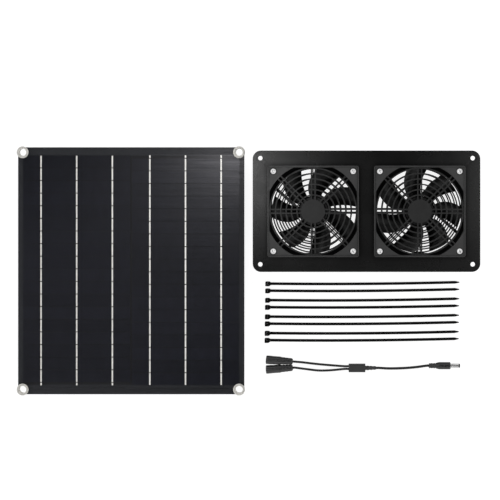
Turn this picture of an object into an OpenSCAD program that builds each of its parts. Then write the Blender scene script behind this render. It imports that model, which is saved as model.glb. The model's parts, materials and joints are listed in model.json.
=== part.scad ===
// Solar attic fan kit, laid out flat: a plate with two 120 mm fans, a thin solar panel,
// a Y-splitter cable and eight cable ties.
// The origin is the middle of the plate's four mounting holes, on the plate's back face.
// +X runs along the plate, +Z points out of its front. Millimetres and degrees.

/* [Mounting plate] */
// Length of the plate
plate_l = 300; // [298:1:310]
// Width of the plate
plate_w = 160; // [158:1:170]
// Thickness of the plate
plate_t = 2; // [1.5:0.5:3]
// Radius of the plate's corners
plate_corner_r = 11; // [6:1:16]
// Distance between mounting holes along the plate
hole_span_x = 280; // [278:1:284]
// Distance between mounting holes across the plate
hole_span_y = 140; // [138:1:144]
// Diameter of a mounting hole
plate_hole_d = 6; // [4.5:0.5:7]

/* [Fans] */
// Side of the square fan frame
fan_w = 120; // [119:0.5:121]
// Depth of the fan frame
fan_d = 25; // [25:0.5:27]
// Distance between the two fans' axes
fan_pitch = 140; // [138:1:142]
// Distance between the fan's screw holes
screw_span = 105; // [104:0.5:106]
// Radius of the air duct
duct_r = 57.6; // [57:0.1:58]
// Radius of the impeller's hub
hub_r = 20; // [20:0.5:22]
// Radius of the blade tips
tip_r = 56; // [53:0.5:56]
// Number of blades
blade_count = 7; // [5:1:9]
// Angle that a blade covers at its root
root_span = 37.5; // [30:0.5:38]
// Angle that a blade covers at its tip
tip_span = 30; // [24:0.5:34]
// Angle that a blade's middle turns from root to tip
blade_sweep = -10; // [-15:1:0]
// Angle by which the blade's front edge curls forward at mid radius
blade_curl = 6.5; // [0:0.5:7]
// Angle of the left impeller as it stands
left_phase = 30.9; // [0:0.1:51]
// Angle of the right impeller as it stands
right_phase = 1.6; // [0:0.1:51]
// Width of the rear strut that carries the lead
strut_w = 5; // [5:0.5:8]
// How much narrower the other three struts are
strut_less = 1; // [0:0.5:2]
// Angle of the first strut
strut_angle = 62; // [55:1:70]
// Angle between a strut and the radius through its middle
strut_skew = -19; // [-22:1:-12]

/* [Guards] */
// Thickness of a guard's frame
guard_t = 4; // [3.5:0.5:5]
// Width of a rib or ring in the guard
rib_w = 1.7; // [1:0.1:1.8]
// Distance between the two ribs of a pair
rib_pair = 5; // [4:0.5:7]
// Number of rings in the guard
ring_count = 6; // [4:1:6]
// Radius of the smallest ring
ring_r = 21.5; // [20:0.5:22]
// Distance from ring to ring
ring_pitch = 7.05; // [6:0.05:7.05]
// Radius of the closed disc in the guard's middle
disc_r = 15.6; // [12:0.2:16]

/* [Solar panel] */
// Width of the panel
panel_w = 304; // [300:1:320]
// Height of the panel
panel_h = 332; // [328:1:350]
// Cells in each of the two columns
cell_rows = 18; // [12:1:18]
// Width of a cell column
column_w = 143.8; // [130:0.2:145]
// Height of the field of cells
field_h = 305.1; // [280:0.1:308]
// Distance between the ribbons of a column
ribbon_pitch = 47.9; // [40:0.1:48]
// Width of a ribbon
ribbon_w = 1.9; // [1:0.1:3]
// Radius of an eyelet's hole
eyelet_hole_r = 4.7; // [3:0.1:5]
// Radius of an eyelet's flange
eyelet_r = 8; // [7.5:0.1:9]

/* [Cables and ties] */
// Radius of the two thin wires of the splitter
thin_wire_r = 1.5; // [1:0.1:1.6]
// Radius of the cables of the fans and the panel
cable_r = 1.5; // [1.1:0.1:1.6]
// Radius of the splitter's single cable
joined_r = 1.7; // [1.2:0.1:2]
// Radius of the barrel of a DC plug
barrel_r = 2.75; // [2.7:0.05:2.8]
// Length of a cable tie
tie_l = 264; // [200:1:266]
// Width of a cable tie's strap
tie_w = 3.6; // [2.5:0.1:3.6]

/* [Hidden] */

$fn = 64;
eps = 0.02;              // gap that keeps fitted parts from overlapping
cut = 1;                 // how far a cutting shape runs past what it cuts
left = -fan_pitch / 2;
right = fan_pitch / 2;

// Fan, in its own frame: z = 0 is the rear face, z = fan_d the front face
fan_corner_r = 4;
flange_t = 4.5;
duct_wall_r = fan_w / 2 - 0.3;
mouth_r = 62.5;          // the duct widens to this in the corners of each face
mouth_half = 58.6;
front_flare = 6;
rear_flare = 11;
screw_r = 2;
screw_hole_r = 2.25;
base_r = 20.5;
base_t = 3.6;
tube_r = 4.8;
seat_r = 4;
strut_t = 4;
strut_mid = 39;
strut_turns = [0, 95, 180, 270];   // from the first strut
lead_slot_w = 3.4;
lead_z = 1.55;
hub_floor = 4.2;
hub_top = fan_d - 2;
hub_wall = 1.6;
yoke_r = hub_r - hub_wall;
yoke_t = 0.8;
magnet_t = 2;
air_gap = 0.5;
magnet_r = yoke_r - yoke_t - magnet_t;
stator_r = magnet_r - air_gap;
stator_z = 7.5;
stator_h = 6.5;
neck_w = 3.5;
boss_r = 4.2;
shaft_r = 1.5;
race_h = 4;
rear_race_z = 1;
front_race_z = 12;
board_z = 4.8;
board_t = 1;
sticker_t = 0.15;

// Guards and their fasteners
guard_corner_r = 3;
guard_rim_w = 1.5;
guard_rim_up = 0.6;
guard_open_r = 63;
guard_open_half = 57.5;
grille_z = 1;
grille_t = 2.5;
seat_depth = 1.5;        // depth of the counterbore that a screw head or a washer sits in
head_r = 3.9;
head_h = 3.1;
screw_l = 40;
washer_t = 0.9;
nut_flats = 7;
nut_h = 3.2;
head_seat_z = plate_t + guard_t - seat_depth;
washer_seat_z = -fan_d - guard_t + seat_depth;
floor_z = head_seat_z - screw_l;     // the kit lies on the tips of the screws

// Panel, about its own middle
panel_x = -316.3;
panel_y = -80.9;
box_h = 14;
back_z = floor_z + box_h;
back_t = 1.5;
cell_t = 0.25;
ribbon_t = 0.15;
film_t = 1.1;
face_z = back_z + back_t + cell_t + ribbon_t + film_t;
eyelet_inset = 6.7;
column_gap = 2.4;
cell_gap = 0.8;
ribbon_break = 0.6;
cell_pitch = field_h / cell_rows;
box_l = 66;
box_w = 46;
box_wall = 2;
lid_t = 2;
box_corner_r = 4;

// Connectors, along +X from z = 0: x = 0 is the shell's mating face
socket_r = 5.6;
socket_body_l = 18.7;
socket_tail_l = 17.3;
socket_tail_r = 4.2;
socket_bore_r = 3.1;
sleeve_r = 2.85;
sleeve_l = 9.5;
pin_r = 1;
plug_r = 4.75;
plug_body_l = 17;
plug_tail_l = 12;
plug_tail_r = 3.7;
barrel_l = 13;
barrel_tip_l = 1.8;
barrel_wall = 0.4;

// Splitter and ties
socket_z = floor_z + socket_r;
plug_z = floor_z + plug_r;
upper_socket = [-136, -202.5, socket_z];
upper_turn = -4.1;
lower_socket = [-136, -215.9, socket_z];
lower_turn = 3.7;
block = [-24.2, -214.1];         // middle of the splitter block's left side
block_size = [22.6, 10.6, 8];
block_z = floor_z + block_size[2] / 2;
upper_wire_y = block[1] + 2.3;
lower_wire_y = block[1] - 1.4;
plug_face = [113.8, -210.9, plug_z];
tie_x = -137.4;
tie_y = -100.1;
tie_pair_pitch = 22.45;
tie_pitch = 9.6;
tie_t = 1.2;
tie_head = [7.2, 6.2, 4.6];
tie_rise = 1.9;
tie_bow = 1.2;

// A rectangle with rounded corners, as points
function rounded_rect(w, h, r, n = 10) = [for (c = [0 : 3], i = [0 : n])
    let (sx = (c == 0 || c == 3) ? 1 : -1, sy = c < 2 ? 1 : -1, a = 90 * c + 90 * i / n)
    [sx * (w / 2 - r) + r * cos(a), sy * (h / 2 - r) + r * sin(a)]];

function unit(v) = v / norm(v);
function mix(a, b, t) = a + (b - a) * t;
function heading(p, i) = unit(p[min(i + 1, len(p) - 1)] - p[max(i - 1, 0)]);

// A smooth curve through control points, with n steps from point to point
function through(c, n = 5) = concat([for (i = [0 : len(c) - 2], k = [0 : n - 1])
    let (a = c[max(i - 1, 0)], b = c[i], d = c[i + 1], e = c[min(i + 2, len(c) - 1)], t = k / n)
    (2 * b + (d - a) * t + (2 * a - 5 * b + 4 * d - e) * t * t
        + (3 * b - a - 3 * d + e) * t * t * t) / 2], [c[len(c) - 1]]);

// A round bar that follows a path, which never runs straight up
module sweep(path, r, sides = 8) {
    n = len(path);
    points = [for (i = [0 : n - 1])
        let (d = heading(path, i), s = unit(cross(d, [0, 0, 1])), u = cross(s, d))
        for (k = [0 : sides - 1])
        path[i] + r * (cos(360 * k / sides) * s + sin(360 * k / sides) * u)];
    walls = [for (i = [0 : n - 2], k = [0 : sides - 1])
        let (a = i * sides + k, b = i * sides + (k + 1) % sides)
        each [[a, b, b + sides], [a, b + sides, a + sides]]];
    caps = [[for (k = [sides - 1 : -1 : 0]) k], [for (k = [0 : sides - 1]) (n - 1) * sides + k]];
    polyhedron(points, concat(walls, caps));
}

module at_corners(span) {
    for (x = [-span / 2, span / 2], y = [-span / 2, span / 2]) translate([x, y, 0]) children();
}

module at_fans() {
    for (x = [left, right]) translate([x, 0, 0]) children();
}

module at_left_fan() {
    translate([left, 0, -fan_d]) children();
}

module at_right_fan() {
    translate([right, 0, -fan_d]) children();
}

module tube(r_out, r_in, h) {
    difference() {
        cylinder(r = r_out, h = h);
        translate([0, 0, -cut]) cylinder(r = r_in, h = h + 2 * cut);
    }
}

module ring_2d(r_out, r_in) {
    difference() {
        circle(r = r_out);
        circle(r = r_in);
    }
}

// --- Plate, guards and fasteners ---

module mounting_plate() {
    color([0.13, 0.13, 0.13]) linear_extrude(plate_t) difference() {
        polygon(rounded_rect(plate_l, plate_w, plate_corner_r));
        for (x = [-1, 1], y = [-1, 1])
            translate([x * hole_span_x / 2, y * hole_span_y / 2]) circle(d = plate_hole_d);
        at_fans() {
            intersection() {
                circle(r = mouth_r);
                square(2 * mouth_half, center = true);
            }
            at_corners(screw_span) circle(r = screw_hole_r);
        }
    }
}

// Pairs of straight ribs, rings and a closed middle
module grille_2d() {
    circle(r = disc_r);
    for (i = [0 : ring_count - 1])
        ring_2d(ring_r + i * ring_pitch + rib_w / 2, ring_r + i * ring_pitch - rib_w / 2);
    for (i = [0 : 7], s = [-1, 1])
        rotate(45 * i) translate([disc_r - cut, s * rib_pair / 2 - rib_w / 2])
            square([(i % 2 == 0 ? guard_open_half : guard_open_r) + cut - disc_r + cut, rib_w]);
}

// One guard on its mounting face, z = 0, standing up
module guard() {
    color([0.22, 0.22, 0.22]) difference() {
        union() {
            linear_extrude(guard_t) difference() {
                polygon(rounded_rect(fan_w, fan_w, guard_corner_r));
                intersection() {
                    circle(r = guard_open_r);
                    square(2 * guard_open_half, center = true);
                }
            }
            linear_extrude(guard_t + guard_rim_up) difference() {
                polygon(rounded_rect(fan_w, fan_w, guard_corner_r));
                square(fan_w - 2 * guard_rim_w, center = true);
            }
            translate([0, 0, grille_z]) linear_extrude(grille_t) grille_2d();
        }
        at_corners(screw_span) {
            translate([0, 0, -cut]) cylinder(r = screw_hole_r, h = guard_t + 2 * cut);
            translate([0, 0, guard_t - seat_depth]) cylinder(r = head_r + 0.75, h = guard_t);
        }
    }
}

module front_guard_left() {
    translate([left, 0, plate_t]) guard();
}

module front_guard_right() {
    translate([right, 0, plate_t]) guard();
}

module rear_guard_left() {
    translate([left, 0, -fan_d]) mirror([0, 0, 1]) guard();
}

module rear_guard_right() {
    translate([right, 0, -fan_d]) mirror([0, 0, 1]) guard();
}

// A pan-head screw with its head's underside at z = 0 and a cross recess
module pan_head_screw() {
    dome = head_h - 1;
    dome_r = (head_r * head_r + dome * dome) / (2 * dome);
    difference() {
        union() {
            intersection() {
                cylinder(r = head_r, h = head_h + cut);
                translate([0, 0, head_h - dome_r]) sphere(r = dome_r);
            }
            translate([0, 0, -screw_l]) cylinder(r = screw_r, h = screw_l + cut);
        }
        for (a = [0, 90]) rotate(a) translate([-2.1, -0.4, head_h - 1.9]) cube([4.2, 0.8, 3]);
        translate([0, 0, head_h - 1.9]) cylinder(r1 = 0.5, r2 = 1.2, h = 2.5);
    }
}

module guard_screws() {
    color([0.8, 0.8, 0.8]) at_fans() at_corners(screw_span)
        translate([0, 0, head_seat_z]) rotate(30) pan_head_screw();
}

// Split spring washers
module lock_washers() {
    color([0.7, 0.7, 0.72]) at_fans() at_corners(screw_span)
        translate([0, 0, washer_seat_z - washer_t]) difference() {
            tube(3.8, screw_r + 0.1, washer_t);
            translate([0, -0.4, -cut]) cube([6, 0.8, washer_t + 2 * cut]);
        }
}

module guard_nuts() {
    color([0.75, 0.75, 0.78]) at_fans() at_corners(screw_span)
        translate([0, 0, washer_seat_z - washer_t - nut_h]) difference() {
            cylinder(d = nut_flats / cos(30), h = nut_h, $fn = 6);
            translate([0, 0, -cut]) cylinder(r = screw_r + 0.03, h = nut_h + 2 * cut);
        }
}

// --- Fans ---

// The line along the first strut, s millimetres from its middle
function strut_point(s, z) = let (x = strut_mid + s * cos(strut_skew), y = s * sin(strut_skew))
    [x * cos(strut_angle) - y * sin(strut_angle), x * sin(strut_angle) + y * cos(strut_angle), z];

module along_strut(k) {
    rotate(strut_angle + strut_turns[k]) translate([strut_mid, 0, 0]) rotate(strut_skew) children();
}

// The duct's flare at a face, from z = 0 at the face down to a depth. It narrows fast through
// the flange and slowly below it.
module duct_mouth(depth) {
    intersection() {
        rotate_extrude() polygon([[0, cut], [mouth_r, cut], [mouth_r, 0],
            [duct_wall_r - 0.6, -flange_t], [duct_r - eps, -depth], [0, -depth]]);
        translate([0, 0, -depth / 2])
            cube([2 * mouth_half, 2 * mouth_half, depth + 2 * cut], center = true);
    }
}

// The frame with its struts, motor base and bearing tube. The lead leaves by the first strut.
module fan_frame() {
    color([0.07, 0.07, 0.07]) difference() {
        union() {
            difference() {
                union() {
                    for (z = [0, fan_d - flange_t]) translate([0, 0, z])
                        linear_extrude(flange_t) polygon(rounded_rect(fan_w, fan_w, fan_corner_r));
                    translate([0, 0, cut]) cylinder(r = duct_wall_r, h = fan_d - 2 * cut);
                }
                translate([0, 0, -cut]) cylinder(r = duct_r, h = fan_d + 2 * cut);
                translate([0, 0, fan_d]) duct_mouth(front_flare);
                mirror([0, 0, 1]) duct_mouth(rear_flare);
                at_corners(screw_span)
                    translate([0, 0, -cut]) cylinder(r = screw_hole_r, h = fan_d + 2 * cut);
            }
            intersection() {
                for (k = [0 : 3]) let (w = k == 0 ? strut_w : strut_w - strut_less) along_strut(k)
                    translate([-25, -w / 2, 0]) cube([60, w, strut_t]);
                cylinder(r = mouth_r + 1.5, h = strut_t);
            }
            cylinder(r = base_r, h = base_t);
            cylinder(r = tube_r, h = front_race_z + race_h + 0.4);
        }
        translate([0, 0, -cut]) cylinder(r = seat_r, h = rear_race_z + race_h + cut);
        translate([0, 0, cut]) cylinder(r = seat_r - 0.7, h = front_race_z);
        translate([0, 0, front_race_z]) cylinder(r = seat_r, h = race_h + 2 * cut);
        along_strut(0) translate([-31, -lead_slot_w / 2, -cut])
            cube([75, lead_slot_w, lead_z + lead_slot_w / 2 + cut]);
        translate(strut_point(-29.5, -cut)) cylinder(r = lead_slot_w / 2, h = base_t + 2 * cut);
    }
}

module fan_frame_left() {
    at_left_fan() fan_frame();
}

module fan_frame_right() {
    at_right_fan() rotate(180) fan_frame();
}

// A blade as a grid of points on its front and back skins: i runs outwards, j from the
// leading edge to the trailing edge, side is 1 in front and -1 behind.
blade_rows = 7;
blade_cols = 8;
blade_root = hub_r - 0.8;

function blade_point(i, j, side) = let (
    out = i / blade_rows, u = j / blade_cols,
    r = mix(blade_root, tip_r, out), f = (r - 23) / 30,
    curl = blade_curl * sin(180 * pow(out, 0.65)) * (1 - 0.65 * u),
    a = blade_sweep * f + mix(root_span, tip_span, f) * (0.5 - u) + curl,
    bowed = u + 0.45 * u * (u - 1),
    middle = mix(mix(21.4, 20.2, out), mix(5, 6.2, out), bowed),
    thick = mix(2.5, 1.5, out) * (0.3 + 0.7 * sin(180 * pow(u, 0.8))))
    [r * cos(a), r * sin(a), middle + side * thick / 2];

module blade() {
    n = blade_cols + 1;
    back = (blade_rows + 1) * n;
    points = [for (side = [1, -1], i = [0 : blade_rows], j = [0 : blade_cols])
        blade_point(i, j, side)];
    skins = [for (i = [0 : blade_rows - 1], j = [0 : blade_cols - 1])
        let (a = i * n + j, b = a + n)
        each [[a, b, b + 1, a + 1], [back + a, back + a + 1, back + b + 1, back + b]]];
    ends = [for (j = [0 : blade_cols - 1]) let (t = blade_rows * n + j)
        each [[j, j + 1, back + j + 1, back + j], [t + 1, t, back + t, back + t + 1]]];
    edges = [for (i = [0 : blade_rows - 1]) let (l = i * n, t = l + blade_cols)
        each [[l + n, l, back + l, back + l + n], [t, t + n, back + t + n, back + t]]];
    quads = concat(skins, ends, edges);
    polyhedron(points, [for (q = quads) each [[q[0], q[1], q[2]], [q[0], q[2], q[3]]]]);
}

// The hub is a cup, open at the rear, with a boss for the shaft
module impeller(phase) {
    color([0.06, 0.06, 0.06]) union() {
        difference() {
            union() {
                translate([0, 0, hub_floor]) cylinder(r = hub_r, h = hub_top - hub_floor - 1.2);
                translate([0, 0, hub_top - 1.2]) cylinder(r1 = hub_r, r2 = hub_r - 1.2, h = 1.2);
            }
            translate([0, 0, hub_floor - cut])
                cylinder(r = yoke_r, h = hub_top - hub_floor - hub_wall + cut);
        }
        translate([0, 0, hub_top - hub_wall - 3]) tube(boss_r, shaft_r, 3.4);
        for (k = [0 : blade_count - 1]) rotate(phase + 360 * k / blade_count) blade();
    }
}

module impeller_left() {
    at_left_fan() impeller(left_phase);
}

module impeller_right() {
    at_right_fan() impeller(right_phase);
}

// Steel cup inside the hub
module rotor_yoke() {
    color([0.55, 0.56, 0.58]) translate([0, 0, hub_floor + 1])
        difference() {
            cylinder(r = yoke_r, h = hub_top - hub_wall - hub_floor - 1);
            translate([0, 0, -cut])
                cylinder(r = yoke_r - yoke_t, h = hub_top - hub_wall - hub_floor - 1 - yoke_t + cut);
            cylinder(r = boss_r + 0.3, h = fan_d);
        }
}

module rotor_yoke_left() {
    at_left_fan() rotor_yoke();
}

module rotor_yoke_right() {
    at_right_fan() rotor_yoke();
}

module magnet_ring() {
    color([0.2, 0.2, 0.21]) translate([0, 0, stator_z - 1.5])
        tube(yoke_r - yoke_t, magnet_r, stator_h + 3);
}

module magnet_ring_left() {
    at_left_fan() magnet_ring();
}

module magnet_ring_right() {
    at_right_fan() magnet_ring();
}

// The shaft has a groove at its rear end for the clip
module shaft() {
    color([0.8, 0.81, 0.83]) difference() {
        translate([0, 0, 0.2]) cylinder(r = shaft_r, h = hub_top - hub_wall - 0.2);
        translate([0, 0, 0.5]) tube(3, 1.1, 0.4);
    }
}

module shaft_left() {
    at_left_fan() shaft();
}

module shaft_right() {
    at_right_fan() shaft();
}

module at_races() {
    for (z = [rear_race_z, front_race_z]) translate([0, 0, z]) children();
}

// Outer rings with their balls
module outer_races() {
    color([0.72, 0.73, 0.75]) at_races() {
        difference() {
            tube(seat_r - eps, 3.05, race_h);
            translate([0, 0, race_h / 2]) rotate_extrude() translate([2.65, 0]) circle(r = 0.62);
        }
        for (k = [0 : 6]) rotate(360 * k / 7) translate([2.65, 0, race_h / 2]) sphere(r = 0.56);
    }
}

module outer_races_left() {
    at_left_fan() outer_races();
}

module outer_races_right() {
    at_right_fan() outer_races();
}

module inner_races() {
    color([0.78, 0.79, 0.81]) at_races() difference() {
        tube(2.25, shaft_r + eps, race_h);
        translate([0, 0, race_h / 2]) rotate_extrude() translate([2.65, 0]) circle(r = 0.62);
    }
}

module inner_races_left() {
    at_left_fan() inner_races();
}

module inner_races_right() {
    at_right_fan() inner_races();
}

// Coil spring between the front inner race and the hub's boss
module preload_spring() {
    wire = 0.22;
    low = front_race_z + race_h + wire + 0.03;
    high = hub_top - hub_wall - 3 - wire - 0.03;
    turns = 3;
    steps = 18 * turns;
    color([0.75, 0.76, 0.78]) sweep([for (i = [0 : steps]) let (a = 360 * turns * i / steps)
        [1.95 * cos(a), 1.95 * sin(a), mix(low, high, i / steps)]], wire, 6);
}

module preload_spring_left() {
    at_left_fan() preload_spring();
}

module preload_spring_right() {
    at_right_fan() preload_spring();
}

// Open ring that snaps into the shaft's groove
module shaft_clip() {
    color([0.25, 0.25, 0.27]) translate([0, 0, 0.52]) linear_extrude(0.36) difference() {
        circle(r = 2.6);
        circle(r = 1.15);
        translate([0, -0.9]) square([4, 1.8]);
    }
}

module shaft_clip_left() {
    at_left_fan() shaft_clip();
}

module shaft_clip_right() {
    at_right_fan() shaft_clip();
}

// Four-pole laminated core
module stator_core() {
    color([0.45, 0.46, 0.48]) translate([0, 0, stator_z]) linear_extrude(stator_h) {
        ring_2d(7, tube_r + eps);
        for (k = [0 : 3]) rotate(90 * k) {
            translate([6, -neck_w / 2]) square([stator_r - 8, neck_w]);
            intersection() {
                ring_2d(stator_r, stator_r - 2.2);
                polygon([[0, 0], [20, -15], [20, 15]]);
            }
        }
    }
}

module stator_core_left() {
    at_left_fan() stator_core();
}

module stator_core_right() {
    at_right_fan() stator_core();
}

// One coil round each pole's neck
module windings() {
    coil_w = 4.4;
    color([0.72, 0.4, 0.18]) translate([0, 0, stator_z + stator_h / 2])
        for (k = [0 : 3]) rotate(90 * k) translate([7.6, 0, 0]) rotate([0, 90, 0])
            linear_extrude(coil_w) difference() {
                polygon(rounded_rect(stator_h + 3.2, neck_w + 5, 1.6, 5));
                square([stator_h + 2 * eps, neck_w + 2 * eps], center = true);
            }
}

module windings_left() {
    at_left_fan() windings();
}

module windings_right() {
    at_right_fan() windings();
}

// Round board with a driver chip below, a Hall sensor and a capacitor above
module driver_board() {
    color([0.1, 0.35, 0.2]) {
        translate([0, 0, board_z]) tube(magnet_r - 0.8, tube_r + 0.3, board_t);
        translate([-11, -2, board_z - 0.8]) cube([4, 5, 0.8]);
        rotate(45) translate([9, -1.5, board_z + board_t]) cube([2.6, 3, 1.6]);
        rotate(135) translate([10.5, 0, board_z + board_t]) cylinder(r = 1.4, h = 2);
    }
}

module driver_board_left() {
    at_left_fan() driver_board();
}

module driver_board_right() {
    at_right_fan() driver_board();
}

// Plain round sticker that closes the bearing seat
module base_sticker() {
    color([0.75, 0.75, 0.74]) translate([0, 0, -sticker_t]) cylinder(r = 9.5, h = sticker_t);
}

module base_sticker_left() {
    at_left_fan() base_sticker();
}

module base_sticker_right() {
    at_right_fan() base_sticker();
}

// The left fan's lead leaves by its strut, runs between the fans and along the far edge,
// to a plug. The right fan's lead is the same turned half round.
strip_y = 68;
lead_plug_x = -102;
lead_tail_x = lead_plug_x + plug_body_l + plug_tail_l;
lead_start = [left, 0, -fan_d];

module fan_lead() {
    floor_run = floor_z + cable_r;
    path = through(concat(
        [for (s = [-28, -20, 0, 20, 34, 41]) lead_start + strut_point(s, lead_z)],
        [[-12, 67.5, -28], [-4.5, 59, -32.5]],
        [for (y = [45, 0, -45]) [-4, y, floor_run]],
        [[-5, -58, floor_run], [-13, -66.5, floor_run + 0.5], [-34, -strip_y, plug_z - 1]],
        [for (x = [12, 4, 0.5, -13]) [lead_tail_x + x, -strip_y, plug_z]]));
    color([0.08, 0.08, 0.08]) sweep(path, cable_r);
}

module fan_lead_left() {
    fan_lead();
}

module fan_lead_right() {
    rotate(180) fan_lead();
}

module at_fan_plugs() {
    for (a = [0, 180]) rotate(a)
        translate([lead_plug_x, -strip_y, plug_z]) rotate(180) children();
}

// --- DC connectors: the mating face is at x = 0 and the cable leaves towards -X ---

// Ribbed boot from x = -l to x = 0, as a profile of radius over length
function ribs(r, l, n) = [for (i = [0 : 2 * n - 1]) [r * (i % 2 == 0 ? 1 : 0.84), l * i / (2 * n - 1)]];

module plug_shell(wire_r) {
    tail = ribs(plug_tail_r * 0.97, plug_tail_l * 0.75, 3);
    profile = concat([[wire_r + eps, 0]], tail,
        [[plug_tail_r, plug_tail_l * 0.8], [plug_r, plug_tail_l + 1.5],
         [plug_r, plug_tail_l + plug_body_l - 0.5], [plug_r - 0.5, plug_tail_l + plug_body_l],
         [barrel_r + eps, plug_tail_l + plug_body_l], [barrel_r + eps, plug_tail_l + 4],
         [wire_r + eps, plug_tail_l + 4]]);
    translate([-plug_tail_l - plug_body_l, 0, 0]) rotate([0, 90, 0])
        rotate_extrude() polygon(profile);
}

// Nickel-plated barrel, held in the shell
module plug_barrel() {
    translate([-8, 0, 0]) rotate([0, 90, 0])
        tube(barrel_r, barrel_r - barrel_wall, barrel_l - barrel_tip_l + 8);
}

// Insulator that lines the barrel and ends in a ring at its tip, round the hollow contact
module plug_insulator() {
    inner = barrel_r - barrel_wall - eps;
    translate([-8, 0, 0]) rotate([0, 90, 0]) rotate_extrude()
        polygon([[1.05, 4], [inner, 4], [inner, barrel_l + 8 - barrel_tip_l],
            [barrel_r - 0.1, barrel_l + 8 - barrel_tip_l + eps],
            [barrel_r - 0.1, barrel_l + 7.7], [barrel_r - 0.4, barrel_l + 8], [1.05, barrel_l + 8]]);
}

// Socket shell, mouth at x = 0 and boot towards +X
module socket_shell(wire_r) {
    tail = [for (p = ribs(1, socket_tail_l - 2, 4))
        [mix(socket_r - 0.5, socket_tail_r, p[1] / socket_tail_l) * mix(0.7, 1, p[0]),
         p[1] + socket_body_l + 1]];
    profile = concat(
        [[socket_bore_r, 0], [socket_r - 0.4, 0], [socket_r, 0.6], [socket_r, 7.6],
         [socket_r - 0.2, 7.8], [socket_r - 0.2, socket_body_l]],
        tail,
        [[socket_tail_r - 0.9, socket_body_l + socket_tail_l], [wire_r + eps, socket_body_l + socket_tail_l],
         [wire_r + eps, sleeve_l + 3], [socket_bore_r, sleeve_l + 3]]);
    rotate([0, 90, 0]) rotate_extrude() polygon(profile);
}

// Spring sleeve and centre pin
module socket_contacts() {
    translate([0.6, 0, 0]) rotate([0, 90, 0]) {
        tube(socket_bore_r - eps, sleeve_r, sleeve_l);
        translate([0, 0, 1.4]) cylinder(r = pin_r, h = sleeve_l);
        translate([0, 0, sleeve_l + 0.4]) cylinder(r = 2.6, h = 1);
    }
}

module fan_plug_shells() {
    color([0.08, 0.08, 0.08]) at_fan_plugs() plug_shell(cable_r);
}

module fan_plug_barrels() {
    color([0.8, 0.8, 0.82]) at_fan_plugs() plug_barrel();
}

module fan_plug_insulators() {
    color([0.05, 0.05, 0.05]) at_fan_plugs() plug_insulator();
}

// --- Solar panel ---

module at_panel() {
    translate([panel_x, panel_y, 0]) children();
}

module at_eyelets() {
    for (x = [-1, 1], y = [-1, 1])
        translate([x * (panel_w / 2 - eyelet_inset), y * (panel_h / 2 - eyelet_inset), 0])
            children();
}

module panel_outline() {
    difference() {
        polygon(rounded_rect(panel_w, panel_h, eyelet_inset));
        at_eyelets() circle(r = eyelet_hole_r + 0.8);
    }
}

module panel_backsheet() {
    color([0.1, 0.1, 0.11]) at_panel() translate([0, 0, back_z])
        linear_extrude(back_t) panel_outline();
}

// The right-hand column of cells lies a little lower than the left-hand one
column_x = (column_w + column_gap) / 2;
stagger = 4;
field_top = (field_h + stagger) / 2 + 0.7;

module at_cells() {
    for (side = [-1, 1], i = [0 : cell_rows - 1])
        translate([side * column_x, field_top - (i + 0.5) * cell_pitch - (side + 1) / 2 * stagger, 0])
            children();
}

// The corner cells are cut back from the eyelets' shanks
module panel_cells() {
    color([0.11, 0.11, 0.14]) at_panel() difference() {
        at_cells() translate([-column_w / 2, (cell_gap - cell_pitch) / 2, back_z + back_t])
            cube([column_w, cell_pitch - cell_gap, cell_t]);
        at_eyelets() translate([0, 0, back_z])
            cylinder(r = eyelet_hole_r + 1.5, h = back_t + cell_t + cut);
    }
}

// A piece of ribbon on each cell, and a tail at one end of each ribbon that makes them all end level
module panel_ribbons() {
    color([0.72, 0.72, 0.72]) at_panel() for (k = [-1 : 1]) translate([k * ribbon_pitch - ribbon_w / 2, 0, 0]) {
        at_cells() translate([0, ribbon_break - cell_pitch / 2, back_z + back_t + cell_t])
            cube([ribbon_w, cell_pitch - 2 * ribbon_break, ribbon_t]);
        for (side = [-1, 1])
            translate([side * column_x, field_top - (1 - side) / 2 * field_h - stagger, back_z + back_t])
                translate([0, (1 + side) / 2 * ribbon_break, 0])
                    cube([ribbon_w, stagger - ribbon_break, cell_t + ribbon_t]);
    }
}

// Clear front sheet, hollowed below to take the cells
module panel_film() {
    film_z = back_z + back_t;
    pocket_w = 2 * column_w + column_gap + 2;
    pocket_h = field_h + stagger + 2;
    pocket_y = field_top + 1 - pocket_h;
    color([0.3, 0.32, 0.36, 0.4]) at_panel() difference() {
        translate([0, 0, film_z]) linear_extrude(face_z - film_z) panel_outline();
        translate([-pocket_w / 2, pocket_y, film_z - cut])
            cube([pocket_w, pocket_h, cut + cell_t + ribbon_t]);
    }
}

// Rolled metal eyelets
module panel_eyelets() {
    r = eyelet_hole_r;
    lip = eyelet_r;
    over = 0.9;
    shank = r + 0.7;
    color([0.75, 0.75, 0.76]) at_panel() at_eyelets() rotate_extrude()
        polygon([[r, back_z - 0.6], [r + 0.6, back_z - over], [lip - 1, back_z - 0.5], [lip - 0.6, back_z - eps],
            [shank, back_z - eps], [shank, face_z + eps], [lip, face_z + eps], [lip, face_z + 0.3],
            [lip - 1, face_z + over], [r + 1, face_z + over], [r, face_z + 0.3]]);
}

module junction_box() {
    color([0.09, 0.09, 0.09]) at_panel() difference() {
        translate([0, 0, floor_z + lid_t]) linear_extrude(box_h - lid_t)
            polygon(rounded_rect(box_l, box_w, box_corner_r));
        translate([0, 0, floor_z]) linear_extrude(box_h - 1.5)
            polygon(rounded_rect(box_l - 2 * box_wall, box_w - 2 * box_wall, box_corner_r - box_wall));
        translate([box_l / 2, 0, floor_z + 6]) rotate([0, 90, 0])
            cylinder(r = cable_r + 0.15, h = 4 * box_wall, center = true);
    }
}

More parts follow.
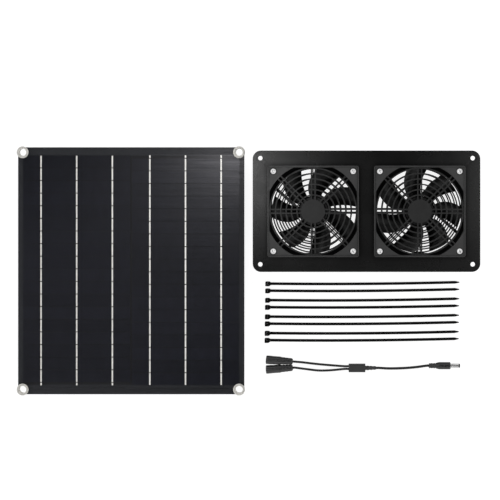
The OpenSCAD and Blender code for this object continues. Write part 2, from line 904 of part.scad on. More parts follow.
module junction_box_lid() {
    lip_l = box_l - 2 * box_wall - 0.4;
    lip_w = box_w - 2 * box_wall - 0.4;
    color([0.1, 0.1, 0.1]) at_panel() translate([0, 0, floor_z]) {
        linear_extrude(lid_t) polygon(rounded_rect(box_l, box_w, box_corner_r));
        linear_extrude(lid_t + 1.5) difference() {
            polygon(rounded_rect(lip_l, lip_w, box_corner_r - box_wall));
            square([lip_l - 3, lip_w - 3], center = true);
        }
    }
}

// Diode that stops the battery or motors from feeding back, with its two legs
module blocking_diode() {
    color([0.12, 0.12, 0.13]) at_panel() translate([0, 8, floor_z + 6]) rotate([0, 90, 0]) {
        cylinder(r = 2.65, h = 9, center = true);
        cylinder(r = 0.6, h = 34, center = true);
    }
}

panel_socket_at = [-40, -110, socket_z];

module panel_lead() {
    floor_run = floor_z + cable_r;
    path = through(concat(
        [for (x = [24, 34.5, 38]) [x, 0, floor_z + 6]],
        [[52, -2, floor_z + 4.5], [86, -16, floor_run], [108, -55, floor_run],
         [84, -96, floor_run], [40, -104, floor_run], [4, -98, floor_z + 2.5]],
        [for (x = [14, 4, 0.5, -16]) panel_socket_at + [x, 0, 0]]));
    color([0.08, 0.08, 0.08]) at_panel() sweep(path, cable_r);
}

module at_panel_socket() {
    at_panel() translate(panel_socket_at - [socket_body_l + socket_tail_l, 0, 0]) children();
}

module panel_socket() {
    color([0.1, 0.1, 0.1]) at_panel_socket() socket_shell(cable_r);
}

module panel_socket_contacts() {
    color([0.8, 0.8, 0.82]) at_panel_socket() socket_contacts();
}

// --- Y-splitter cable ---

module splitter_socket_upper() {
    color([0.16, 0.16, 0.16]) translate(upper_socket) rotate(upper_turn) socket_shell(thin_wire_r);
}

module splitter_socket_lower() {
    color([0.16, 0.16, 0.16]) translate(lower_socket) rotate(lower_turn) socket_shell(thin_wire_r);
}

module splitter_contacts() {
    color([0.8, 0.8, 0.82]) {
        translate(upper_socket) rotate(upper_turn) socket_contacts();
        translate(lower_socket) rotate(lower_turn) socket_contacts();
    }
}

// The point s millimetres along a socket's axis from its mouth
function socket_point(at, turn, s) = at + s * [cos(turn), sin(turn), 0];

// A thin wire from inside a socket's boot, over the floor, into the block
module thin_wire(at, turn, bends, end_y) {
    path = through(concat(
        [for (s = [22, 29, 36.5, 39]) socket_point(at, turn, s)],
        bends,
        [for (x = [-6, -0.5, 5]) [block[0] + x, end_y, block_z]]));
    sweep(path, thin_wire_r);
}

module splitter_wires() {
    low = floor_z + thin_wire_r;
    color([0.06, 0.06, 0.06]) {
        thin_wire(upper_socket, upper_turn,
            [[-86.6, -206.9, low + 1], [-64.9, -209.6, low], [-43.3, -211.4, low]], upper_wire_y);
        thin_wire(lower_socket, lower_turn,
            [[-82.3, -216, low + 1], [-64.9, -218.2, low], [-48, -217.8, low]], lower_wire_y);
    }
}

// Moulded block with a tapered boot towards the plug
module splitter_block() {
    boot_l = 14.8;
    color([0.14, 0.14, 0.14]) translate([block[0], block[1], block_z]) rotate([90, 0, 90])
        difference() {
            union() {
                linear_extrude(block_size[0])
                    polygon(rounded_rect(block_size[1], block_size[2], 1.5, 5));
                translate([0, 0, block_size[0] - cut]) rotate_extrude() polygon(concat([[0, 0]],
                    [for (p = ribs(1, boot_l + cut, 4)) [mix(3.4, 2.5, p[1] / boot_l) * p[0], p[1]]],
                    [[0, boot_l + cut]]));
            }
            for (y = [upper_wire_y, lower_wire_y]) translate([y - block[1], 0, -cut])
                cylinder(r = thin_wire_r + eps, h = 6 + cut);
            translate([0, 0, block_size[0] - 6]) cylinder(r = joined_r + eps, h = 6 + boot_l + cut);
        }
}

module splitter_cable() {
    boot_end = block[0] + block_size[0] + 14.8;
    tail_end = plug_face[0] - plug_body_l - plug_tail_l;
    low = floor_z + joined_r;
    path = through(concat(
        [for (x = [-19, -8, 0.5, 4]) [boot_end + x, block[1], block_z]],
        [[32, -215.3, low + 0.3], [52, -214.8, low], [68, -213.3, low + 0.6]],
        [for (x = [-3.5, -0.5, 6, 15]) [tail_end + x, plug_face[1], plug_z]]));
    color([0.08, 0.08, 0.08]) sweep(path, joined_r);
}

module splitter_plug_shell() {
    color([0.12, 0.12, 0.12]) translate(plug_face) plug_shell(joined_r);
}

module splitter_plug_barrel() {
    color([0.8, 0.8, 0.82]) translate(plug_face) plug_barrel();
}

module splitter_plug_insulator() {
    color([0.05, 0.05, 0.05]) translate(plug_face) plug_insulator();
}

module tie_head_shape() {
    l = tie_head[0];
    h = tie_head[1] / 2;
    polygon([[0.5, -h], [l - 2, -h], [l, -tie_w / 2], [l, tie_w / 2], [l - 2, h], [0.5, h],
        [0, h - 0.5], [0, 0.5 - h]]);
}

// Middle of the strap at a share t of its length: it bows a little and drifts upwards
function strap_y(t) = tie_rise * t - tie_bow * 4 * t * (1 - t);

// One tie with its head's left end at the origin: a head with a window and a pawl, and a strap
module cable_tie() {
    tip = 6;
    steps = 16;
    start = tie_head[0] - 0.6;
    span = tie_l - tip - start;
    window = [2.4, 3.6];
    difference() {
        linear_extrude(tie_head[2]) tie_head_shape();
        translate([2.4, -window[1] / 2, -cut]) cube([window[0], window[1], tie_head[2] + 2 * cut]);
    }
    translate([2.9, -1.5, 1]) cube([2.1, 3, 2.8]);
    linear_extrude(tie_t) polygon(concat(
        [for (i = [0 : steps]) [start + span * i / steps, strap_y(i / steps) + tie_w / 2]],
        [[tie_l, strap_y(1) + 0.5], [tie_l, strap_y(1) - 0.5]],
        [for (i = [steps : -1 : 0]) [start + span * i / steps, strap_y(i / steps) - tie_w / 2]]));
}

// Four pairs, each a little further left than the one above
module cable_ties() {
    color([0.05, 0.05, 0.05]) for (i = [0 : 7])
        translate([tie_x - 0.14 * i, tie_y - floor(i / 2) * tie_pair_pitch - (i % 2) * tie_pitch, floor_z])
            cable_tie();
}

mounting_plate();
front_guard_left();
front_guard_right();
rear_guard_left();
rear_guard_right();
guard_screws();
lock_washers();
guard_nuts();
fan_frame_left();
fan_frame_right();
impeller_left();
impeller_right();
rotor_yoke_left();
rotor_yoke_right();
magnet_ring_left();
magnet_ring_right();
shaft_left();
shaft_right();
outer_races_left();
outer_races_right();
inner_races_left();
inner_races_right();
preload_spring_left();
preload_spring_right();
shaft_clip_left();
shaft_clip_right();
stator_core_left();
stator_core_right();
windings_left();
windings_right();
driver_board_left();
driver_board_right();
base_sticker_left();
base_sticker_right();
fan_lead_left();
fan_lead_right();
fan_plug_shells();
fan_plug_barrels();
fan_plug_insulators();
panel_backsheet();
panel_cells();
panel_ribbons();
panel_film();
panel_eyelets();
junction_box();
junction_box_lid();
blocking_diode();
panel_lead();
panel_socket();
panel_socket_contacts();
splitter_socket_upper();
splitter_socket_lower();
splitter_contacts();
splitter_wires();
splitter_block();
splitter_cable();
splitter_plug_shell();
splitter_plug_barrel();
splitter_plug_insulator();
cable_ties();
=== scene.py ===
"""The looks of a solar attic fan kit: twin-fan plate, solar panel, splitter cable and cable ties.

Everything is in metres, in the CAD model's frame: +X along the plate, +Z out of its front.
"""

import json
import math

import bmesh
import bpy
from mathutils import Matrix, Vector


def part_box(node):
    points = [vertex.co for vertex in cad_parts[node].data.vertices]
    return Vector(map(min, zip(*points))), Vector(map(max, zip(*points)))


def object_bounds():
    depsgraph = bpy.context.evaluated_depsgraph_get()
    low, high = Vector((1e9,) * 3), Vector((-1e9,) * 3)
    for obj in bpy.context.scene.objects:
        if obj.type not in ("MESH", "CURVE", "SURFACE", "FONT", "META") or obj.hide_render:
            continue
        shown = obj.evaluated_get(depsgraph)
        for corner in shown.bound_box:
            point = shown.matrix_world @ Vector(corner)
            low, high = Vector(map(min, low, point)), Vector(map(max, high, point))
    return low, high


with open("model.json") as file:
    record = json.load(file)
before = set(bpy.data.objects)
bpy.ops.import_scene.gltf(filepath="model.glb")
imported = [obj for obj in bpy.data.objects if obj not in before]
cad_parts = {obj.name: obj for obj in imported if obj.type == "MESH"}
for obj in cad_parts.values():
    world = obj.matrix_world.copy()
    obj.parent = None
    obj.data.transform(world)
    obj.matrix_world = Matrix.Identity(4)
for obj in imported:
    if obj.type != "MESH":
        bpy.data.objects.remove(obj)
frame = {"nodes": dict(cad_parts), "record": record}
CAD_BOX = [list(corner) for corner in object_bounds()]
NODES = frame["nodes"]
SLOT = {part["node"]: part["material_slot"] for part in frame["record"]["subparts"]}
MM = 0.001
# The tint of the panel's black laminate
BLUISH = (0.95, 1, 1.12)
# The height of a front guard's frame, which stands proud of the grille
GUARD_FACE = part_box("front_guard_left")[1][2] - 0.6 * MM
# Nearly all of a noise's values lie between these two
NOISE_LOW = 0.3
NOISE_HIGH = 0.7


# ---------------------------------------------------------------- node helpers


class Shader:
    """A material's node tree, with short calls for the nodes that the finishes share."""

    def __init__(self, name):
        self.material = bpy.data.materials.new(name)
        self.material.use_nodes = True
        self.tree = self.material.node_tree
        self.tree.nodes.clear()
        self.output = self.node("ShaderNodeOutputMaterial")
        self.place = self.node("ShaderNodeTexCoord").outputs["Object"]

    def node(self, kind, inputs=None, **settings):
        made = self.tree.nodes.new(kind)
        for key, value in settings.items():
            setattr(made, key, value)
        for key, value in (inputs or {}).items():
            self.feed(made.inputs[key], value)
        return made

    def feed(self, socket, value):
        if isinstance(value, bpy.types.NodeSocket):
            self.tree.links.new(value, socket)
        else:
            socket.default_value = value

    def noise(self, size_mm, detail=2.0, rough=0.5, stretch=(1, 1, 1)):
        """Soft noise from 0 to 1, whose blotches are about size_mm across."""
        scaled = self.node(
            "ShaderNodeMapping", {"Vector": self.place, "Scale": stretch}
        )
        return self.node(
            "ShaderNodeTexNoise",
            {
                "Vector": scaled.outputs[0],
                "Scale": 1.0 / (size_mm * MM),
                "Detail": detail,
                "Roughness": rough,
            },
        ).outputs[0]

    def math(self, operation, a, b=0.0):
        made = self.node("ShaderNodeMath", operation=operation)
        self.feed(made.inputs[0], a)
        self.feed(made.inputs[1], b)
        return made.outputs[0]

    def times(self, a, b):
        return self.math("MULTIPLY", a, b)

    def spread(self, value, low, high, out_low, out_high):
        """value taken from low..high to out_low..out_high, clamped."""
        return self.node(
            "ShaderNodeMapRange",
            {
                "Value": value,
                "From Min": low,
                "From Max": high,
                "To Min": out_low,
                "To Max": out_high,
            },
        ).outputs[0]

    def tone(self, noise, low, high):
        """A noise taken to the range low..high."""
        return self.spread(noise, NOISE_LOW, NOISE_HIGH, low, high)

    def mix(self, share, a, b):
        """Colour a at share 0, colour b at share 1."""
        made = self.node("ShaderNodeMix", data_type="RGBA")
        self.feed(made.inputs["Factor"], share)
        self.feed(made.inputs[6], a)
        self.feed(made.inputs[7], b)
        return made.outputs[2]

    def bump(self, height, depth_mm, normal=None):
        made = self.node(
            "ShaderNodeBump",
            {"Height": height, "Distance": depth_mm * MM, "Strength": 1.0},
        )
        if normal is not None:
            self.feed(made.inputs["Normal"], normal)
        return made.outputs[0]

    def edges(self, radius_mm):
        """1 on sharp edges, 0 on flats."""
        soft = self.node(
            "ShaderNodeBevel", {"Radius": radius_mm * MM}, samples=4
        ).outputs[0]
        sharp = self.node("ShaderNodeNewGeometry").outputs["Normal"]
        dot = self.node("ShaderNodeVectorMath", operation="DOT_PRODUCT")
        self.feed(dot.inputs[0], soft)
        self.feed(dot.inputs[1], sharp)
        return self.spread(dot.outputs["Value"], 0.98, 0.75, 0.0, 1.0)

    def crevice(self, reach_mm):
        """0 deep in corners and gaps narrower than reach_mm, 1 in the open."""
        shade = self.node("ShaderNodeAmbientOcclusion", {"Distance": reach_mm * MM}, samples=6)
        return self.spread(shade.outputs["AO"], 0.45, 0.95, 0, 1)

    def square_on(self, straight, aside):
        """straight where a surface is seen square on, aside where it is seen from low down."""
        away = self.node("ShaderNodeLayerWeight").outputs["Facing"]
        return self.spread(away, 0.12, 0.45, straight, aside)

    def finish(self, **inputs):
        """Ends the material in a Principled BSDF. Inputs use underscores for spaces."""
        bsdf = self.node("ShaderNodeBsdfPrincipled")
        for key, value in inputs.items():
            self.feed(bsdf.inputs[key.replace("_", " ")], value)
        self.feed(self.output.inputs["Surface"], bsdf.outputs[0])
        return self.material


def grey(value, tint=(1.0, 1.0, 1.0)):
    return (value * tint[0], value * tint[1], value * tint[2], 1.0)


# ---------------------------------------------------------------- finishes


def moulded(name, shade, rough, grain_mm, grain_depth, worn=0.0, sheen=0.5):
    """Moulded plastic: a fine grain, faint flow marks and a slightly uneven roughness.

    worn is how far the sharp edges have gone pale, and sheen is how strongly it reflects."""
    s = Shader(name)
    flow = s.tone(s.noise(18, 3, 0.6), 0, 1)
    base = s.mix(flow, grey(shade * 0.85), grey(shade * 1.15))
    if worn:
        base = s.mix(s.times(s.edges(0.35), worn), base, grey(shade * 2.5 + 0.02))
    fine = s.noise(grain_mm, 2, 0.6)
    rough_map = s.tone(s.noise(6, 3), rough * 0.88, rough * 1.12)
    return s.finish(
        Base_Color=base,
        Roughness=rough_map,
        Specular_IOR_Level=sheen,
        Normal=s.bump(fine, grain_depth),
    )


def powder_coat():
    """Black powder coat: a shallow orange peel with a few brighter specks, worn edges, and painted
    shade that dulls its sheen in crevices.
    """
    s = Shader("powder_coat")
    peel = s.noise(1.6, 2, 0.5)
    specks = s.spread(s.noise(0.5, 1), 0.72, 0.8, 0, 1)
    base = s.mix(s.times(specks, 0.3), grey(0.0016), grey(0.02))
    base = s.mix(s.times(s.edges(0.5), 0.4), base, grey(0.02))
    rough = s.spread(s.noise(40, 3), 0.35, 0.65, 0.25, 0.29)
    # Painted shade: the sheen is cut in gaps and corners narrower than 7 mm
    sheen = s.spread(s.crevice(7), 0, 1, 0.15, 0.5)
    return s.finish(
        Base_Color=base, Roughness=rough, Specular_IOR_Level=sheen, Normal=s.bump(peel, 0.01)
    )


def metal(name, shade, rough, tint=(1, 1, 1), lines=(1, 1, 1), metallic=1.0, gap_mm=0.0):
    """Bare or plated metal with fine scratches, and painted shade in gaps narrower than gap_mm.

    lines is small along the axis that the scratches run in."""
    s = Shader(name)
    scratch = s.noise(0.25, 3, 0.6, lines)
    cloud = s.tone(s.noise(4, 3), 0, 1)
    base = s.mix(cloud, grey(shade * 0.9, tint), grey(shade, tint))
    # Painted shade: gaps narrower than gap_mm are darkened
    if gap_mm:
        base = s.mix(s.crevice(gap_mm), grey(shade * 0.12, tint), base)
    return s.finish(
        Base_Color=base,
        Metallic=metallic,
        Roughness=s.tone(scratch, rough * 0.8, rough * 1.25),
        Normal=s.bump(scratch, 0.004),
    )


def striped(name, light, dark, pitch_mm, rough, depth_mm):
    """Metal in fine bands stacked in z, such as laminations or wound wire."""
    s = Shader(name)
    height = s.node("ShaderNodeSeparateXYZ", {"Vector": s.place}).outputs[2]
    phase = s.times(height, 2 * math.pi / (pitch_mm * MM))
    wave = s.spread(s.math("SINE", phase), -1, 1, 0, 1)
    return s.finish(
        Base_Color=s.mix(wave, dark, light),
        Metallic=1.0,
        Roughness=rough,
        Normal=s.bump(wave, depth_mm),
    )


def circuit_board():
    """Green solder mask over paler copper tracks."""
    s = Shader("circuit_board")
    cells = s.node(
        "ShaderNodeTexVoronoi",
        {"Vector": s.place, "Scale": 380.0},
        distance="MANHATTAN",
        feature="DISTANCE_TO_EDGE",
    ).outputs[0]
    tracks = s.spread(cells, 0.05, 0.09, 1, 0)
    base = s.mix(tracks, (0.01, 0.12, 0.05, 1), (0.03, 0.25, 0.1, 1))
    return s.finish(Base_Color=base, Roughness=0.35, Normal=s.bump(tracks, 0.03))


def guard_plastic():
    """The guards' black plastic: painted highlights on the sharp edges, paler and glossier on the
    proud frame, painted shade in gaps.
    """
    s = Shader("guard_plastic")
    height = s.node("ShaderNodeSeparateXYZ", {"Vector": s.place}).outputs[2]
    proud = s.spread(height, GUARD_FACE - 0.35 * MM, GUARD_FACE - 0.2 * MM, 0, 1)
    # Painted shade: colour and sheen go dark in gaps narrower than 3 mm
    unshaded = s.crevice(3)
    base = s.mix(proud, grey(0.022), grey(0.045))
    # Painted highlight: the sharp edges, which make up most of each grille ring, are made paler
    base = s.mix(s.times(s.edges(0.35), 0.7), base, grey(0.09))
    flow = s.tone(s.noise(18, 3, 0.6), 0.85, 1.15)
    level = s.times(s.spread(proud, 0, 1, 0.48, 0.66), flow)
    return s.finish(
        Base_Color=s.mix(unshaded, grey(0.001), base),
        Roughness=s.tone(s.noise(6, 3), 0.32, 0.4),
        Specular_IOR_Level=s.times(unshaded, level),
        Normal=s.bump(s.noise(0.35, 2, 0.6), 0.012),
    )


def backsheet():
    """The panel's black back layer: a paler woven border, and darker under the field of cells."""
    s = Shader("backsheet")
    part = s.node("ShaderNodeSeparateXYZ", {"Vector": s.place})
    (x0, y0, _), (x1, y1, _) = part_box("panel_cells")
    inside = 1.0
    for axis, low, high in ((0, x0, x1), (1, y0, y1)):
        off = s.math("ABSOLUTE", s.math("SUBTRACT", part.outputs[axis], (low + high) / 2))
        half = (high - low) / 2
        inside = s.times(inside, s.spread(off, half - 1 * MM, half + 1 * MM, 1, 0))
    tone = s.tone(s.noise(0.8, 2, 0.6), 0, 1)
    border = s.mix(tone, grey(0.022, BLUISH), grey(0.036, BLUISH))
    return s.finish(
        Base_Color=s.mix(inside, border, grey(0.008, BLUISH)),
        Roughness=0.5,
        Specular_IOR_Level=s.square_on(0.5, 0.12),
        Normal=s.bump(tone, 0.01),
    )


def solar_cell():
    """Dark blue-black silicon with fine contact fingers across the cell. Cells differ a little."""
    s = Shader("solar_cell")
    y = s.node("ShaderNodeSeparateXYZ", {"Vector": s.place}).outputs[1]
    finger_pitch = 1.7 * MM
    phase = s.math("FRACT", s.math("DIVIDE", y, finger_pitch))
    finger = s.spread(s.math("ABSOLUTE", s.math("SUBTRACT", phase, 0.5)), 0.06, 0.1, 1, 0)
    mottle = s.tone(s.noise(9, 4, 0.65, (1, 0.35, 1)), 0, 1)
    own = s.node("ShaderNodeNewGeometry").outputs["Random Per Island"]
    shade = s.math("ADD", s.times(mottle, 0.5), s.times(own, 0.5))
    silicon = s.mix(shade, (0.0035, 0.0045, 0.009, 1), (0.0115, 0.0125, 0.022, 1))
    base = s.mix(s.times(finger, 0.5), silicon, (0.03, 0.03, 0.033, 1))
    return s.finish(
        Base_Color=base,
        Roughness=0.35,
        Specular_IOR_Level=s.square_on(0.5, 0.12),
        Normal=s.bump(finger, 0.01),
    )


def clear_film():
    """Clear front sheet: see-through, with a soft reflection, a faint quilting and creases."""
    s = Shader("clear_film")
    quilt = s.noise(14, 2, 0.5)
    grain = s.noise(0.9, 2, 0.5)
    normal = s.bump(grain, 0.004, s.bump(quilt, 0.05))
    gloss = s.node(
        "ShaderNodeBsdfGlossy", {"Roughness": 0.2, "Color": (0.97, 0.95, 1, 1), "Normal": normal}
    )
    clear = s.node("ShaderNodeBsdfTransparent", {"Color": (0.97, 0.97, 0.98, 1)})
    fresnel = s.node("ShaderNodeFresnel", {"IOR": 1.2, "Normal": normal}).outputs[0]
    creases = s.spread(s.noise(3, 3, 0.75, (0.03, 1, 1)), 0.35, 0.7, 0.55, 1.8)
    share = s.times(s.times(fresnel, creases), s.square_on(1, 0))
    both = s.node("ShaderNodeMixShader", {"Fac": share})
    s.feed(both.inputs[1], clear.outputs[0])
    s.feed(both.inputs[2], gloss.outputs[0])
    s.feed(s.output.inputs["Surface"], both.outputs[0])
    return s.material


def ribbon_metal():
    """Tinned ribbon: a dull coat with soft dents along it."""
    s = Shader("ribbon_metal")
    dents = s.noise(2.5, 3, 0.6, (1, 0.3, 1))
    tone = s.spread(dents, 0.25, 0.75, 0, 1)
    return s.finish(
        Base_Color=s.mix(tone, (0.74, 0.725, 0.66, 1), (0.9, 0.885, 0.82, 1)),
        Metallic=0.1,
        Roughness=s.tone(dents, 0.35, 0.5),
        Normal=s.bump(dents, 0.03),
    )


FINISHES = {
    "plate_black": powder_coat(),
    "guard_plastic": guard_plastic(),
    "fan_plastic": moulded("fan_plastic", 0.005, 0.34, 0.6, 0.004),
    "screw_steel": metal("screw_steel", 0.9, 0.36, metallic=0.5, gap_mm=1.2),
    "zinc_steel": metal("zinc_steel", 0.7, 0.35, (1, 1, 1.03)),
    "rotor_steel": metal("rotor_steel", 0.5, 0.35, lines=(1, 1, 0.05)),
    "magnet": moulded("magnet", 0.02, 0.6, 0.2, 0.02),
    "shaft_steel": metal("shaft_steel", 0.75, 0.15, lines=(0.1, 0.1, 1)),
    "bearing_steel": metal("bearing_steel", 0.7, 0.18),
    "spring_steel": metal("spring_steel", 0.6, 0.3),
    "core_steel": striped("core_steel", grey(0.45), grey(0.2), 0.5, 0.4, 0.05),
    "copper_wire": striped(
        "copper_wire", (0.75, 0.33, 0.12, 1), (0.3, 0.1, 0.03, 1), 0.45, 0.3, 0.08
    ),
    "board": circuit_board(),
    "sticker": moulded("sticker", 0.55, 0.3, 3.0, 0.02),
    "cable_black": moulded("cable_black", 0.006, 0.45, 0.8, 0.006),
    "connector_black": moulded("connector_black", 0.014, 0.3, 0.5, 0.008, worn=0.1, sheen=0.7),
    "block_rubber": moulded("block_rubber", 0.038, 0.42, 0.5, 0.01, worn=0.1),
    "insulator": moulded("insulator", 0.01, 0.45, 0.4, 0.006),
    "nickel": metal("nickel", 0.82, 0.16, lines=(1, 0.15, 0.15)),
    "backsheet": backsheet(),
    "solar_cell": solar_cell(),
    "ribbon": ribbon_metal(),
    "panel_film": clear_film(),
    "eyelet": metal("eyelet", 1.0, 0.3, (1, 0.98, 0.92), metallic=0.2, gap_mm=0.6),
    "box_plastic": moulded("box_plastic", 0.018, 0.5, 0.4, 0.012, worn=0.3),
    "diode_body": moulded("diode_body", 0.012, 0.3, 0.5, 0.005),
    "tie_nylon": moulded("tie_nylon", 0.002, 0.5, 0.7, 0.008, sheen=0.15),
}

# Nodes whose finish differs a little from the rest of their slot
OTHER_FINISH = {"splitter_block": "block_rubber"}
# Edges sharper than this are rounded, and shading breaks at edges sharper than the second
ROUNDED_ANGLE = math.radians(35)
SHARP_ANGLE = math.radians(40)


def coat(node):
    """Gives a CAD node its finish and welds the seams between its faces."""
    thing = NODES[node]
    thing.data.materials.clear()
    thing.data.materials.append(FINISHES[OTHER_FINISH.get(node, SLOT[node])])
    thing.modifiers.new("weld", "WELD").merge_threshold = 0.001 * MM
    return thing


def dress(node, bevel_mm):
    """A solid part: its finish, edges rounded by bevel_mm, and smooth shading."""
    thing = coat(node)
    if bevel_mm:
        rounding = thing.modifiers.new("rounding", "BEVEL")
        rounding.width = bevel_mm * MM
        rounding.segments = 2
        rounding.limit_method = "ANGLE"
        rounding.angle_limit = ROUNDED_ANGLE
    smooth(thing)


def smooth(thing):
    """Smooth shading that keeps sharp edges and lets large flats stay flat."""
    shading = thing.modifiers.new("smooth", "NODES")
    shading.node_group = bpy.data.node_groups.get("smooth_by_angle") or smooth_group()
    weighted = thing.modifiers.new("flats", "WEIGHTED_NORMAL")
    weighted.keep_sharp = True


def smooth_group():
    """Geometry nodes that mark edges sharp where faces meet at more than SHARP_ANGLE."""
    group = bpy.data.node_groups.new("smooth_by_angle", "GeometryNodeTree")
    group.interface.new_socket("Mesh", in_out="INPUT", socket_type="NodeSocketGeometry")
    group.interface.new_socket("Mesh", in_out="OUTPUT", socket_type="NodeSocketGeometry")
    start = group.nodes.new("NodeGroupInput")
    end = group.nodes.new("NodeGroupOutput")
    angle = group.nodes.new("GeometryNodeInputMeshEdgeAngle")
    compare = group.nodes.new("FunctionNodeCompare")
    compare.data_type = "FLOAT"
    compare.operation = "LESS_EQUAL"
    compare.inputs[1].default_value = SHARP_ANGLE
    flat = group.nodes.new("GeometryNodeSetShadeSmooth")
    flat.domain = "FACE"
    edge = group.nodes.new("GeometryNodeSetShadeSmooth")
    edge.domain = "EDGE"
    group.links.new(angle.outputs[0], compare.inputs[0])
    group.links.new(start.outputs[0], flat.inputs[0])
    group.links.new(flat.outputs[0], edge.inputs[0])
    group.links.new(compare.outputs[0], edge.inputs["Shade Smooth"])
    group.links.new(edge.outputs[0], end.inputs[0])
    return group


# How much a part's edges are rounded, in mm, by the first of these words in its name
ROUNDING = {
    "mounting_plate": 0.3,
    "guard": 0.5,
    "fan_frame": 0.3,
    "eyelets": 0.15,
    "junction": 0.5,
    "splitter_block": 0.6,
    "socket": 0.2,
    "plug": 0.2,
}

CABLES = ("fan_lead_left", "fan_lead_right", "panel_lead", "splitter_wires", "splitter_cable")
# What subdividing takes off a cable's radius
CABLE_GROWTH = 0.13 * MM


def dress_cable(node):
    """A cable's coarse sweep, subdivided to a smooth round one and grown back to its radius."""
    thing = coat(node)
    finer = thing.modifiers.new("finer", "SUBSURF")
    finer.levels = finer.render_levels = 2
    grow = thing.modifiers.new("grow", "DISPLACE")
    grow.mid_level = 0.0
    grow.strength = CABLE_GROWTH
    smooth(thing)


for name in sorted(NODES):
    if name in CABLES:
        dress_cable(name)
    else:
        dress(name, next((width for word, width in ROUNDING.items() if word in name), 0.0))


# ---------------------------------------------------------------- floor, light, camera

FLOOR_Z = CAD_BOX[0][2] - 0.2 * MM
FLOOR_RADIUS = 12
# The sines of the heights above the horizon where the ceiling starts and is fully dark, and
# how bright the walls and the ceiling are
CEILING_STARTS = 0.45
CEILING_FULL = 0.85
WALL_LIGHT = 1.35
CEILING_LIGHT = 0.03
CENTRE = [(a + b) / 2 for a, b in zip(*CAD_BOX)]


def floor():
    """A very large pale floor that glows a little, as a white studio sweep does."""
    mesh = bpy.data.meshes.new("floor")
    bm = bmesh.new()
    bmesh.ops.create_circle(bm, cap_ends=True, radius=FLOOR_RADIUS, segments=96)
    bm.to_mesh(mesh)
    bm.free()
    thing = bpy.data.objects.new("floor", mesh)
    thing.location = (CENTRE[0], CENTRE[1], FLOOR_Z)
    bpy.context.scene.collection.objects.link(thing)
    s = Shader("floor")
    seen = s.node("ShaderNodeLightPath").outputs["Is Camera Ray"]
    strength = s.spread(seen, 0, 1, 0.15, 0.9)
    glow = s.node("ShaderNodeEmission", {"Color": (1, 1, 1, 1), "Strength": strength})
    fibre = s.tone(s.noise(3, 4, 0.6), 0.5, 0.56)
    tone = s.node("ShaderNodeCombineColor", {"Red": fibre, "Green": fibre, "Blue": fibre})
    paper = s.node("ShaderNodeBsdfDiffuse", {"Color": tone.outputs[0]})
    both = s.node("ShaderNodeAddShader")
    s.feed(both.inputs[0], glow.outputs[0])
    s.feed(both.inputs[1], paper.outputs[0])
    s.feed(s.output.inputs["Surface"], both.outputs[0])
    mesh.materials.append(s.material)


def softbox(name, place, target, size, power):
    light = bpy.data.lights.new(name, "AREA")
    light.shape = "RECTANGLE"
    light.size, light.size_y = size
    light.energy = power
    thing = bpy.data.objects.new(name, light)
    thing.location = place
    thing.rotation_euler = (Vector(target) - Vector(place)).to_track_quat("-Z", "Y").to_euler()
    bpy.context.scene.collection.objects.link(thing)
    return thing


def studio():
    world = bpy.data.worlds.new("studio")
    bpy.context.scene.world = world
    world.use_nodes = True
    tree = world.node_tree
    tree.nodes.clear()

    def node(kind, **settings):
        made = tree.nodes.new(kind)
        for key, value in settings.items():
            setattr(made, key, value)
        return made

    out = node("ShaderNodeOutputWorld")
    seen = node("ShaderNodeBackground")
    seen.inputs["Strength"].default_value = 1.0
    seen.inputs["Color"].default_value = (1, 1, 1, 1)
    around = node("ShaderNodeBackground")
    up = node("ShaderNodeSeparateXYZ")
    tree.links.new(node("ShaderNodeTexCoord").outputs["Generated"], up.inputs[0])
    level = node("ShaderNodeMapRange", interpolation_type="SMOOTHSTEP")
    for key, value in zip(
        ("From Min", "From Max", "To Min", "To Max"),
        (CEILING_STARTS, CEILING_FULL, WALL_LIGHT, CEILING_LIGHT),
    ):
        level.inputs[key].default_value = value
    tree.links.new(up.outputs[2], level.inputs["Value"])
    tree.links.new(level.outputs[0], around.inputs["Strength"])
    pick = node("ShaderNodeMixShader")
    tree.links.new(node("ShaderNodeLightPath").outputs["Is Camera Ray"], pick.inputs[0])
    tree.links.new(around.outputs[0], pick.inputs[1])
    tree.links.new(seen.outputs[0], pick.inputs[2])
    tree.links.new(pick.outputs[0], out.inputs[0])


# The panel's slots and the bright bare metal, which have softboxes of their own
PANEL_SLOTS = ("backsheet", "solar_cell", "panel_film", "eyelet")
BARE_METAL = ("panel_ribbons", "guard_screws", "splitter_plug_barrel")

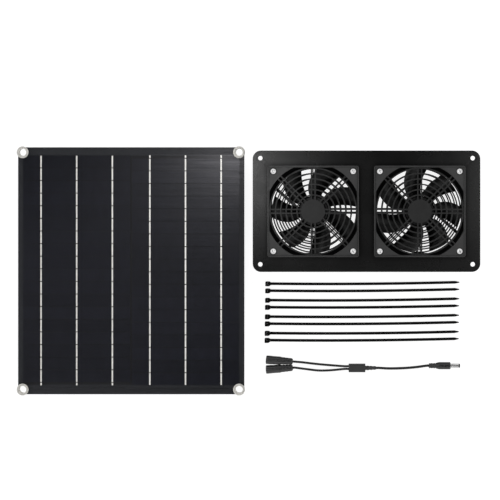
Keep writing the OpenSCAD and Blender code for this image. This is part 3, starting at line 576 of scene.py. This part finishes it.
# Name, what it lights, its place, the point it faces, its size in metres and its power in watts
SOFTBOXES = (
    ("key", "kit", (-0.38, 0.07, 1.15), (-0.16, 0.02, 0), (0.12, 0.3), 1.0),
    ("fill", "kit", (0.62, 0.05, 1.15), (0.15, 0, 0), (0.3, 0.6), 1.3),
    ("front", "kit", (0.02, -0.3, 1.1), (0, -0.1, 0), (0.6, 0.06), 0.12),
    ("splitter_fill", "splitter", (-0.1, -0.8, 1), (0, -0.2, 0), (0.7, 0.3), 1.2),
    ("panel_key", "panel", (-0.36, 0.16, 1.15), (-0.17, 0.08, 0), (0.2, 0.18), 1.0),
    ("panel_fill", "panel", (-0.75, -0.3, 1.15), (-0.38, -0.12, 0), (0.6, 0.9), 0.25),
    ("metal", "bare_metal", (-0.25, 0, 1.2), (-0.25, 0, 0), (0.5, 0.5), 6.0),
)


def softboxes():
    """Places the softboxes. Each shines only on its own parts."""
    lit = {
        "kit": [name for name in NODES if SLOT[name] not in PANEL_SLOTS],
        "splitter": [name for name in NODES if name.startswith("splitter")],
        "panel": [name for name in NODES if SLOT[name] in PANEL_SLOTS],
        "bare_metal": BARE_METAL,
    }
    for name, parts, place, target, size, power in SOFTBOXES:
        only_for(softbox(name, place, target, size, power), lit[parts])


def only_for(light, names):
    """Makes a light shine on these nodes and nothing else."""
    lit = bpy.data.collections.new(light.name + "_lit")
    for name in names:
        lit.objects.link(NODES[name])
    light.light_linking.receiver_collection = lit


# The camera looks straight down from above the plate, and its lens is shifted so that the
# whole kit is in the picture.
CAMERA_HOME = (0.0, 43.8 * MM, 1.09)
CAMERA_LENS = 59.46
CAMERA_SHIFT = (-0.233, -0.144)


def camera():
    data = bpy.data.cameras.new("camera")
    data.sensor_width = 36
    data.lens = CAMERA_LENS
    data.clip_start = 0.05
    data.clip_end = 50
    thing = bpy.data.objects.new("camera", data)
    thing.location = CAMERA_HOME
    bpy.context.scene.collection.objects.link(thing)
    bpy.context.scene.camera = thing
    for name, amount in zip(("shift_x", "shift_y"), CAMERA_SHIFT):
        home_only(data, name, amount, thing)


def home_only(data, name, amount, thing):
    """Drives a lens shift so that it is there only while the camera stands at home."""
    driver = data.driver_add(name).driver
    driver.type = "SCRIPTED"
    for axis, letter in enumerate("xyz"):
        variable = driver.variables.new()
        variable.name = letter
        variable.targets[0].id = thing
        variable.targets[0].data_path = f"location[{axis}]"
    away = " + ".join(
        f"abs({letter} - {value:.6f})" for letter, value in zip("xyz", CAMERA_HOME)
    )
    driver.expression = f"{amount} if {away} < 0.0001 else 0.0"


floor()
studio()
softboxes()
camera()
bpy.context.scene.view_settings.view_transform = "Standard"
